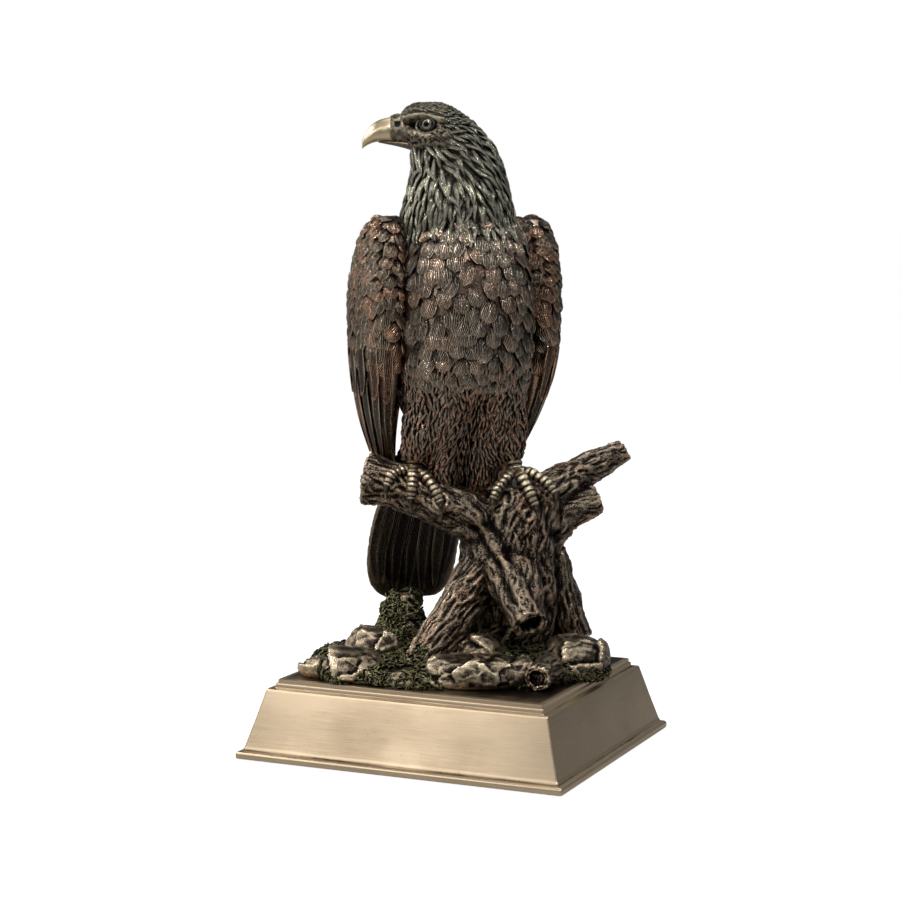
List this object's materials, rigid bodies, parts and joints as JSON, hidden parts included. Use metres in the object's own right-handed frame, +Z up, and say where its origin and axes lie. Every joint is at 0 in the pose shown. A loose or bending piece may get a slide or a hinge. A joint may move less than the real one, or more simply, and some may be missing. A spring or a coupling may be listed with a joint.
{
  "type": "eagle statuette",
  "caption": "Bronze eagle perched on a gnarled stump over mossy rocks, on a stepped rectangular plinth with brushed sloping sides; a shelf or desk figurine.",
  "frame": {"origin": "middle of the felt underside, on the surface that the statuette stands on", "axes": "+X along the plinth's wide face, +Y to the back, +Z up"},
  "size_m": [0.165, 0.145, 0.3076],
  "materials": {
    "plinth_brass": "brushed and lacquered antique brass, dark in the angles",
    "board": "dark stained fibreboard",
    "felt": "black felt",
    "steel": "plain steel",
    "moss_bronze": "bronze with a dark green patina",
    "rock_bronze": "brown patina rubbed back to pale gold on the edges",
    "bark_bronze": "dark brown patina rubbed back on the ridges",
    "plumage_bronze": "warm brown patina with copper and gold highlights",
    "tail_bronze": "near black patina",
    "head_bronze": "grey green patina with silvery ridges",
    "eye_bronze": "polished with a dark pupil",
    "beak_bronze": "satin pale gold",
    "foot_bronze": "light bronze, dark between the scales"
  },
  "bodies": {
    "root": {"plinth_shell": "plinth_brass", "bottom_board": "board", "felt_pad": "felt", "board_screws": "steel", "mounting_studs": "steel", "stud_washers": "steel", "stud_nuts": "steel", "groundwork": "moss_bronze", "front_rock": "rock_bronze", "left_rock": "rock_bronze", "left_end_rock": "rock_bronze", "back_left_rock": "rock_bronze", "right_rock": "rock_bronze", "arch_rock": "rock_bronze", "back_rock": "rock_bronze", "moss_hummock": "moss_bronze", "small_log": "bark_bronze", "trunk": "bark_bronze", "left_limb": "bark_bronze", "right_branch": "bark_bronze", "branch_stub": "bark_bronze", "left_root": "bark_bronze", "front_root": "bark_bronze", "right_root": "bark_bronze", "back_root": "bark_bronze", "torso": "plumage_bronze", "right_wing": "plumage_bronze", "left_wing": "plumage_bronze", "tail": "tail_bronze", "head": "head_bronze", "eyes": "eye_bronze", "upper_beak": "beak_bronze", "lower_beak": "beak_bronze", "right_foot": "foot_bronze", "left_foot": "foot_bronze", "foot_pins": "steel", "wing_dowels": "steel", "neck_dowel": "steel", "tail_dowel": "steel"}
  },
  "joints": []
}
